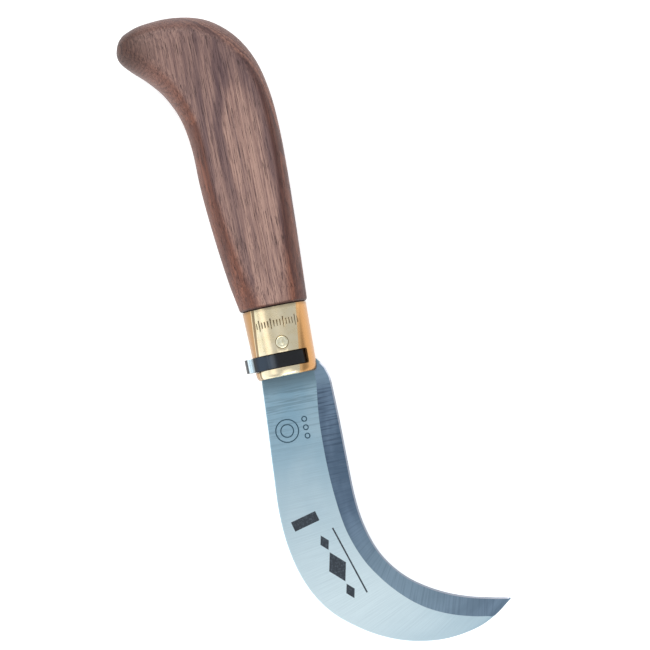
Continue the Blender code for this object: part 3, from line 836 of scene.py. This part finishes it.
def etched_ink():
    """Dark print on the blade, slightly worn."""
    made, tree, shader = start_material("etched_print", Metallic=0.6, Roughness=0.45)
    place, _ = place_in_mm(tree)
    wear = noise(tree, place, (1.8, 1.8, 1.8), detail=5, rough=0.7)
    tone = blend_colour(tree, between(tree, wear, 0.45, 0.75), INK, INK_WORN)
    paint(tree, shader, tone, wear, 0.004 * MM)
    return made


# ------------------------------ blade


def blade_rows():
    """Every section as (spine, grind, edge, thickness, edge thickness, has a bevel)."""
    rows = []
    for degrees in range(172, 89, -4):
        x, y = polar(TANG_RADIUS, math.radians(degrees))
        rows.append(flat_row((x, -y), (x, y)))
    rows.append(flat_row((0, -TANG_RADIUS), (0, TANG_RADIUS)))
    for sx, sy, ex, ey in HEEL_ROWS:
        row = flat_row((sx * MM, sy * MM), (ex * MM, ey * MM))
        rows.append((*row[:4], plunge(row[2].x), row[2].x > PLUNGE_START))
    for sx, sy, gx, gy, ex, ey, thick in smooth_rows(BLADE_ROWS, ROWS_PER_SPAN):
        points = [Vector((x * MM, y * MM)) for x, y in ((sx, sy), (gx, gy), (ex, ey))]
        thick = min(thick * MM, BLADE_THICK)
        behind = plunge(points[2].x) if points[2].y < PLUNGE_SIDE else SECONDARY_START
        rows.append((*points, thick, min(behind, thick), True))
    return rows


def plunge(x):
    """The edge's thickness where the bevel runs out into the full blade at the heel."""
    share = min(max((PLUNGE_END - x) / (PLUNGE_END - PLUNGE_START), 0.0), 1.0)
    return mix(SECONDARY_START, BLADE_THICK, share * share * (3 - 2 * share))


def flat_row(spine, edge):
    """An unbevelled row. The grind line runs on up the heel, at one distance from the axis."""
    spine, edge = Vector(spine), Vector(edge)
    share = min((HEEL_GRIND_SIDE - spine.y) / (edge.y - spine.y), 0.9)
    return spine, spine.lerp(edge, share), edge, BLADE_THICK, BLADE_THICK, False


def toward(start, end, distance):
    """The point a distance from start towards end, never past its middle."""
    step = end - start
    length = step.length
    return start + step * (min(distance, 0.45 * length) / max(length, 1e-9))


def blade_ring(spine, grind, edge, thick, edge_thick, bevelled):
    """Half of the section, from the spine to the edge, then the same mirrored below."""
    chamfer = min(SPINE_CHAMFER, 0.3 * thick)
    back = toward(edge, grind, HONED_WIDE if bevelled else SPINE_CHAMFER)
    wide = max((grind - edge).length, 1e-9)
    honed_from = mix(edge_thick, thick, (back - edge).length / wide)
    tip_thick = HONED_THICK if bevelled else edge_thick - 2 * chamfer
    tip_thick = max(tip_thick, edge_thick - 2 * HONED_WIDE)
    upper = [
        (*spine, thick / 2 - chamfer),
        (*toward(spine, grind, chamfer), thick / 2),
        (*grind, thick / 2),
        (*back, honed_from / 2),
        (*edge, tip_thick / 2),
    ]
    return upper + [(x, y, -z) for x, y, z in reversed(upper)]


FLAT, BEVEL, EDGE = 0, 1, 2
COLUMN_FINISH = (FLAT, FLAT, BEVEL, EDGE, EDGE, EDGE, BEVEL, FLAT, FLAT, FLAT)


def blade_loft():
    """The blade's closed mesh, with a finish for each face and a map of along and across."""
    rows = blade_rows()
    bm = bmesh.new()
    uv_layer = bm.loops.layers.uv.new("along_across")
    places = {}
    made = []
    along = 0.0
    middle = None
    for row in rows:
        here = (row[0] + row[2]) / 2
        along += (here - middle).length if middle is not None else 0.0
        middle = here
        ring = [bm.verts.new(point) for point in blade_ring(*row)]
        for vert in ring:
            across = (Vector(vert.co[:2]) - row[0]).length
            places[vert] = (along / (UV_SPAN * MM), across / (UV_SPAN * MM))
        made.append(ring)
    for i, (ring, following) in enumerate(zip(made, made[1:])):
        for j, corner in enumerate(ring):
            k = (j + 1) % len(ring)
            face = bm.faces.new((corner, ring[k], following[k], following[j]))
            face.material_index = COLUMN_FINISH[j] if rows[i][5] else FLAT
    bm.faces.new(made[0])
    bm.faces.new(made[-1])
    for face in bm.faces:
        for loop in face.loops:
            loop[uv_layer].uv = places[loop.vert]
    return add_object("blade_steel_ground", mesh_from("blade_steel_ground", bm))


def ring_notch():
    """Cutter for the groove that lets the lock ring pass under the blade's heel."""
    inner = RING_INNER - NOTCH_GAP + 0.05 * MM
    outer = RING_INNER + RING_THICK + NOTCH_GAP
    profile = [(outer, WINDOW_FRONT), (outer, 0), (inner, 0), (inner, WINDOW_FRONT)]
    return turned("ring_notch", profile, TURN_STEPS, closed=True, axis="X")


def stamped_mark():
    """Cutters for a plain pressed mark: two circles, one in the other, beside a column of small ones."""
    circles = [(MARK_MIDDLE, radius) for radius in MARK_RADII]
    for i in range(DOT_COUNT):
        beside = Vector(((i - (DOT_COUNT - 1) / 2) * DOT_STEP, DOT_ASIDE, 0))
        circles.append((MARK_MIDDLE + beside, DOT_RADIUS))
    deep = MARK_DEEP
    top = BLADE_THICK / 2
    made = []
    for i, (spot, radius) in enumerate(circles):
        groove = [(radius + 2 * deep, top + deep), (radius, top - deep), (radius - 2 * deep, top + deep)]
        cutter = turned(f"mark_{i}", groove, HOLE_STEPS, closed=True)
        cutter.data.transform(Matrix.Translation(spot))
        made.append(cutter)
    return made


def make_blade():
    blade = blade_loft()
    finishes = [blade_flat(), blade_bevel(), blade_edge()]
    for finish in finishes:
        blade.data.materials.append(finish)
    steps = [("DIFFERENCE", ring_notch()), ("DIFFERENCE", rivet_hole("pivot_hole", RIVET_HOLE))]
    steps += [("DIFFERENCE", cutter) for cutter in stamped_mark()]
    carve(blade, *steps)
    shade(blade, 5)
    return blade


def printed_shapes():
    """Plain shapes printed on the flat: a solid bar, then a row of lozenges beside a thin rule."""
    bar = [(-1.6, -4.2), (1.6, -4.2), (1.6, 4.2), (-1.6, 4.2)]
    big = [(-5.2, 0.0), (0.0, -3.0), (5.2, 0.0), (0.0, 3.0)]
    small = [(-2.6, 0.0), (0.0, -1.5), (2.6, 0.0), (0.0, 1.5)]
    rule = [(-11.5, -0.25), (11.5, -0.25), (11.5, 0.25), (-11.5, 0.25)]
    middle = Vector(ROW_MIDDLE)
    along = Vector((math.cos(ROW_SLANT), math.sin(ROW_SLANT)))
    aside = Vector((-along.y, along.x))
    return (
        ("printed_bar", bar, BAR_MIDDLE, BAR_SLANT),
        ("printed_lozenge", big, middle, ROW_SLANT),
        ("printed_lozenge_upper", small, middle - LOZENGE_STEP * along, ROW_SLANT),
        ("printed_lozenge_lower", small, middle + LOZENGE_STEP * along, ROW_SLANT),
        ("printed_rule", rule, middle + RULE_ASIDE * aside, ROW_SLANT),
    )


def make_print(finish):
    made = []
    for name, outline, (x, y), turn in printed_shapes():
        points = [rotated((px * MM, py * MM), turn) for px, py in outline]
        obj = plate(name, [(px + x * MM, py + y * MM) for px, py in points], PRINT_THICK)
        obj.data.transform(Matrix.Translation((0, 0, BLADE_THICK / 2 - PRINT_SUNK)))
        obj.data.materials.append(finish)
        made.append(obj)
    return made


# ------------------------------ handle


def handle_section(hollow, rounded, half_thick, roundness):
    """One closed section: four elliptical corners joined by flats."""
    middle = (hollow + rounded) / 2
    across = (rounded - hollow) / 2
    half_wide = across.length
    along = across.normalized()
    corner_across = min(mix(CORNER_ACROSS, half_wide, roundness), CORNER_MOST * half_wide)
    corner_deep = min(mix(CORNER_DEEP, half_thick, roundness), CORNER_MOST * half_thick)
    points = []
    for quarter in range(4):
        side = (1, -1, -1, 1)[quarter]
        face = (1, 1, -1, -1)[quarter]
        for step in range(CORNER_STEPS + 1):
            angle = math.pi / 2 * (quarter + step / CORNER_STEPS)
            wide = side * (half_wide - corner_across) + corner_across * math.cos(angle)
            deep = face * (half_thick - corner_deep) + corner_deep * math.sin(angle)
            spot = middle + along * wide
            points.append((spot.x, spot.y, deep))
    return points


def shoulder_rings(row):
    """The shoulder's rounded rim: the first section, drawn in by a quarter circle."""
    hx, hy, _, ry, half_thick, roundness = row
    rings = []
    for degrees in range(0, 90, 15):
        inset = SHOULDER_ROUND * (1 - math.sin(math.radians(degrees)))
        x = hx + SHOULDER_ROUND * (math.cos(math.radians(degrees)) - 1)
        hollow, rounded = Vector((x, hy + inset)), Vector((x, ry - inset))
        rings.append(handle_section(hollow, rounded, half_thick - inset, roundness))
    return rings


def grip_rings():
    rows = [[value * MM for value in row[:5]] + [row[5]] for row in HANDLE_ROWS]
    rings = shoulder_rings(rows[0])
    rows[0][0] -= SHOULDER_ROUND
    rows[0][2] -= SHOULDER_ROUND
    for hx, hy, rx, ry, half_thick, roundness in smooth_rows(rows, ROWS_PER_SPAN):
        half_thick = min(half_thick, HANDLE_HALF)
        roundness = min(max(roundness, 0.0), 1.0)
        rings.append(handle_section(Vector((hx, hy)), Vector((rx, ry)), half_thick, roundness))
    nose_x, nose_y = HANDLE_NOSE
    last = rings[-1]
    for shrink, out in NOSE_STEPS:
        rings.append(nose_ring(last, nose_x, nose_y, shrink, out))
    return rings


def nose_ring(last, nose_x, nose_y, shrink, out):
    """The last section, shrunk and moved part of the way to the nose."""
    centre = sum((Vector(point) for point in last), Vector()) / len(last)
    target = centre.lerp(Vector((nose_x, nose_y, 0)), out)
    return [tuple(target + (Vector(point) - centre) * shrink) for point in last]


def ferrule_radius(x):
    share = (x - FERRULE_BACK) / (FERRULE_FRONT - FERRULE_BACK)
    return mix(FERRULE_RADIUS_BACK, FERRULE_RADIUS_FRONT, share)


def neck_radius(x):
    return ferrule_radius(x) - FERRULE_WALL - NECK_GAP


def neck():
    profile = [
        (0, NECK_FRONT),
        (SEAT_RADIUS, NECK_FRONT),
        (SEAT_RADIUS, SEAT_BACK),
        (neck_radius(SEAT_BACK), SEAT_BACK),
        (neck_radius(FERRULE_BACK), FERRULE_BACK),
        (neck_radius(FERRULE_BACK), NECK_ROOT),
        (0, NECK_ROOT),
    ]
    return turned("neck", profile, TURN_STEPS, axis="X")


def slot_outline():
    """The slot's floor follows the closed blade's edge and root, and the rest is outside the wood."""
    tang_side = [(0, TANG_RADIUS)] + [(ex * MM, ey * MM) for _, _, ex, ey in HEEL_ROWS]
    edge = [(row[4] * MM, row[5] * MM) for row in smooth_rows(BLADE_ROWS, 4)]
    gaps = [TANG_GAP] * 3 + [EDGE_GAP] * (len(tang_side) + len(edge) - 3)
    floor = [rotated(point, FOLD) for point in offset_path(tang_side + edge, gaps)]
    root = TANG_RADIUS + TANG_GAP
    closed_side = math.degrees(FOLD) + 90
    arc = [polar(root, math.radians(mix(270, closed_side, step / 8))) for step in range(8)]
    past_front = FERRULE_FRONT + CUT_PAST
    past_butt = Vector(floor[-1]).normalized() * (Vector(floor[-1]).length + CUT_PAST)
    far_x = HANDLE_NOSE[0] - 2 * CUT_PAST
    far_y = HANDLE_ROWS[0][3] * MM + 2 * CUT_PAST
    outside = [tuple(past_butt), (far_x, far_y), (past_front, far_y), (past_front, -root)]
    return arc + floor + outside


def rivet_hole(name, radius):
    """Cutter for a hole on the pivot's axis, right through the knife."""
    half = 2 * FERRULE_RADIUS_BACK
    return turned(name, [(0, half), (radius, half), (radius, -half), (0, -half)], HOLE_STEPS)


def make_handle(finish):
    handle = loft("handle_walnut_oiled", grip_rings())
    handle.data.materials.append(finish)
    slot = plate("blade_slot", slot_outline(), SLOT_WIDE)
    hole = rivet_hole("pivot_hole", RIVET_HOLE)
    carve(handle, ("UNION", neck()), ("DIFFERENCE", slot), ("DIFFERENCE", hole))
    soften_edges(handle, WOOD_SOFTEN, 50)
    shade(handle, 35)
    return handle


# ------------------------------ ferrule, lock ring and rivet


def ferrule_profile():
    """The spun-over rim from the front face back, the outer side, then the bore."""
    rim_start = FERRULE_FRONT - RIM_LONG
    crest = ferrule_radius(rim_start) - RIM_DEEP
    profile = []
    for step in range(RIM_STEPS + 1):
        angle = math.pi / 2 * step / RIM_STEPS
        profile.append((crest + RIM_DEEP * math.sin(angle), rim_start + RIM_LONG * math.cos(angle)))
    profile.append((FERRULE_RADIUS_BACK, FERRULE_BACK))
    profile.append((FERRULE_RADIUS_BACK - FERRULE_WALL, FERRULE_BACK))
    profile.append((ferrule_radius(rim_start) - FERRULE_WALL, rim_start))
    profile.append((RIM_BORE, FERRULE_FRONT))
    return profile


def window_cutter():
    """A block spun about the ferrule's axis from one end of the window to the other."""
    inner, outer = WINDOW_CUT
    sides = ((WINDOW_BACK, inner), (WINDOW_FRONT, inner), (WINDOW_FRONT, outer), (WINDOW_BACK, outer))
    bm = bmesh.new()
    face = bm.faces.new([bm.verts.new((x, *polar(radius, WINDOW_START))) for x, radius in sides])
    bmesh.ops.spin(
        bm,
        geom=list(face.verts) + list(face.edges) + [face],
        axis=(1, 0, 0),
        cent=(0, 0, 0),
        angle=WINDOW_END - WINDOW_START,
        steps=TURN_STEPS // 2,
    )
    bmesh.ops.recalc_face_normals(bm, faces=bm.faces)
    corners = [edge for edge in bm.edges if is_radial_corner(edge)]
    bmesh.ops.bevel(bm, geom=corners, offset=WINDOW_CORNER, segments=8, profile=0.5, affect="EDGES")
    return add_object("ring_window", mesh_from("ring_window", bm))


def is_radial_corner(edge):
    """Is this edge at one of the window's four corners, running out from the axis?"""
    a, b = (vert.co for vert in edge.verts)
    angles = [math.atan2(point.z, point.y) % (2 * math.pi) for point in (a, b)]
    ends = (WINDOW_START, WINDOW_END)
    at_end = any(all(abs(angle - end) < 1e-4 for angle in angles) for end in ends)
    return at_end and abs(a.x - b.x) < 1e-7


def block(name, low, high):
    bm = bmesh.new()
    bmesh.ops.create_cube(bm, size=1.0)
    for vert in bm.verts:
        for axis in range(3):
            vert.co[axis] = mix(low[axis], high[axis], vert.co[axis] + 0.5)
    return add_object(name, mesh_from(name, bm))


def tick_cutter():
    """A row of short grooves across the brass, long and short like the marks of a scale."""
    bm = bmesh.new()
    for i in range(TICK_COUNT):
        angle = mix(TICK_START, TICK_END, i / (TICK_COUNT - 1))
        half = TICK_LONG[0 if i % 4 == 1 else 1] / 2
        surface = ferrule_radius(TICK_MIDDLE)
        made = bmesh.ops.create_cube(bm, size=1.0)["verts"]
        diamond = Matrix.Rotation(math.pi / 4, 4, "X")
        size = Matrix.Diagonal((2 * half, TICK_WIDE / math.sqrt(2), 2 * TICK_DEEP / math.sqrt(2), 1))
        place = Matrix.Translation((TICK_MIDDLE, 0, surface))
        turn = Matrix.Rotation(angle - math.pi / 2, 4, "X")
        bmesh.ops.transform(bm, matrix=turn @ place @ size @ diamond, verts=made)
    return add_object("ticks", mesh_from("ticks", bm))


def make_ferrule(finish):
    ferrule = turned("ferrule_brass_spun", ferrule_profile(), TURN_STEPS, closed=True, axis="X")
    ferrule.data.materials.append(finish)
    low = (FERRULE_BACK - CUT_PAST, 0, -FERRULE_SLOT / 2)
    high = (FERRULE_FRONT + CUT_PAST, FERRULE_RADIUS_BACK + CUT_PAST, FERRULE_SLOT / 2)
    slot = block("ferrule_slot", low, high)
    holes = rivet_hole("rivet_head_holes", RIVET_HEAD_HOLE)
    cuts = [slot, holes, window_cutter(), tick_cutter()]
    carve(ferrule, *(("DIFFERENCE", cut) for cut in cuts))
    soften_edges(ferrule, BRASS_SOFTEN, 40)
    shade(ferrule, 35)
    return ferrule


def bump_height(angle):
    """How far the strip stands out of its circle: a swell between the bump's two ends."""
    if not BUMP_START < angle < BUMP_END:
        return 0.0
    share = (angle - BUMP_START) / (BUMP_END - BUMP_START)
    return BUMP_RISE * math.sin(math.pi * share) ** BUMP_FULLNESS


def make_lock_ring(finish):
    """A strip with softened edges, swept round the seat and out over the bump."""
    wide = (WINDOW_FRONT - WINDOW_BACK) / 2 - RING_END_GAP
    middle_x = (WINDOW_BACK + WINDOW_FRONT) / 2
    thick = RING_THICK / 2
    cut = RING_CHAMFER
    corners = []
    for across, along in ((1, 1), (-1, 1), (-1, -1), (1, -1)):
        for step in range(4):
            angle = math.atan2(along, across) - math.pi / 4 + math.pi / 2 * step / 3
            out = (thick - cut) * across + cut * math.cos(angle)
            corners.append((out, (wide - cut) * along + cut * math.sin(angle)))
    radius = RING_INNER + thick
    path = []
    for step in range(TURN_STEPS + 1):
        angle = mix(RING_MOUTH, 2 * math.pi - RING_MOUTH, step / TURN_STEPS)
        path.append(polar(radius + bump_height(angle), angle))
    by_corner = [offset_path(path, [-out] * len(path)) for out, _ in corners]
    rings = []
    for i in range(len(path)):
        rings.append([(middle_x + corners[k][1], *by_corner[k][i]) for k in range(len(corners))])
    ring = loft("lock_ring_blackened", rings)
    ring.data.materials.append(finish)
    shade(ring, 50)
    return ring


def make_rivet(finish):
    """Flush heads with a low dome and the ring that a rivet set leaves."""
    neck_at = RIVET_TOP - RIVET_HEAD_DEEP
    head = [(out * MM, RIVET_TOP - below * MM) for out, below in RIVET_DOME]
    for step in range(1, RIVET_EDGE_STEPS + 1):
        angle = math.pi / 2 * step / RIVET_EDGE_STEPS
        out = RIVET_HEAD_RADIUS - RIVET_EDGE * (1 - math.sin(angle))
        head.append((out, RIVET_TOP - RIVET_RIM_BELOW - RIVET_EDGE * (1 - math.cos(angle))))
    head += [(RIVET_HEAD_RADIUS, neck_at), (RIVET_RADIUS, neck_at)]
    profile = head + [(radius, -height) for radius, height in reversed(head)]
    rivet = turned("rivet_brass_set", profile, HOLE_STEPS)
    rivet.data.materials.append(finish)
    shade(rivet, 40)
    return rivet


# ------------------------------ floor, light, camera


FLOOR_HALF = 3.0
FLOOR_GREY = (0.92, 0.92, 0.92, 1)
FLOOR_GLOW = 0.5
WORLD_COLOUR = (0.88, 0.95, 1.0, 1)
WORLD_STRENGTH = 0.62
# Name, place, point it faces, size, watts and colour. Places and sizes are in metres.
LIGHTS = (
    ("key_by_pommel", (-0.85, -0.2, 0.75), (0, 0, 0), (0.8, 0.6), 4.8, (1.0, 0.98, 0.95)),
    ("fill_by_tip", (0.95, 0.1, 0.6), (0, 0, 0), (0.8, 0.5), 3.6, (1.0, 0.99, 0.98)),
    ("over_the_tip", (0.55, 0.0, 1.2), (0.05, 0, 0), (0.7, 0.8), 1.6, (0.95, 0.98, 1.0)),
    ("left_softbox", (0.0, -0.63, 0.49), (0, 0, 0), (0.9, 0.3), 0.72, (1.0, 0.98, 0.95)),
    ("left_strip", (0.0, -0.6, 0.13), (0, 0, 0), (0.9, 0.14), 0.32, (0.80, 0.95, 1.0)),
)


def area_light(name, place, target, size, power, colour):
    light = bpy.data.lights.new(name, "AREA")
    light.shape = "RECTANGLE"
    light.size, light.size_y = size
    light.energy = power
    light.color = colour
    obj = add_object(name, light)
    obj.location = place
    obj.rotation_euler = (Vector(target) - Vector(place)).to_track_quat("-Z", "Y").to_euler()


def make_floor():
    bm = bmesh.new()
    corners = ((-1, -1), (1, -1), (1, 1), (-1, 1))
    bm.faces.new([bm.verts.new((x * FLOOR_HALF, y * FLOOR_HALF, 0)) for x, y in corners])
    floor = add_object("floor", mesh_from("floor", bm))
    floor.location.z = -FLOOR_GAP
    made, _, shader = start_material("pale_floor", Roughness=0.9, Specular_IOR_Level=0.1)
    set_inputs(shader, Base_Color=FLOOR_GREY, Emission_Color=(1, 1, 1, 1), Emission_Strength=FLOOR_GLOW)
    floor.data.materials.append(made)


def make_lights():
    world = bpy.data.worlds.new("studio")
    world.use_nodes = True
    set_inputs(world.node_tree.nodes["Background"], Color=WORLD_COLOUR, Strength=WORLD_STRENGTH)
    bpy.context.scene.world = world
    for light in LIGHTS:
        area_light(*light)


def make_camera():
    """Image up is the handle's end of the knife, turned a little clockwise."""
    up = Vector((-math.cos(CAMERA_TURN), math.sin(CAMERA_TURN), 0))
    back = Vector((math.tan(LEAN_ALONG), -math.tan(LEAN_BACK), 1)).normalized()
    right = up.cross(back).normalized()
    up = back.cross(right)
    data = bpy.data.cameras.new("camera")
    data.sensor_width = SENSOR
    data.lens = SENSOR * CAMERA_AWAY / FRAME_WIDE
    data.clip_start = 0.01
    camera = add_object("camera", data)
    facing = Matrix((right, up, back)).transposed().to_4x4()
    camera.matrix_world = Matrix.Translation(AIM + back * CAMERA_AWAY) @ facing
    bpy.context.scene.camera = camera


# ------------------------------ assembly


def joint_place(frame, name):
    found = next(joint for joint in frame["joints"] if joint["name"] == name)
    return Vector(found["pos_m"])


def settle(obj, pivot, body, node=None):
    """Moves a finished piece to the pivot, ties it to its body and hides the CAD node it replaces."""
    obj.location = pivot
    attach(obj, body)
    if node:
        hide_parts(node)


def main():
    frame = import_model()
    pivot = joint_place(frame, "blade_fold")
    bpy.context.scene.view_settings.view_transform = "Standard"
    make_camera()
    make_floor()
    make_lights()
    settle(make_handle(walnut()), pivot, "handle_body", "handle")
    settle(make_ferrule(brass()), pivot, "handle_body", "ferrule")
    settle(make_rivet(rivet_brass()), pivot, "handle_body", "pivot_rivet")
    settle(make_lock_ring(black_oxide()), pivot, "ring_body", "lock_ring")
    settle(make_blade(), pivot, "blade_body", "blade")
    for shape in make_print(etched_ink()):
        settle(shape, pivot, "blade_body")


main()
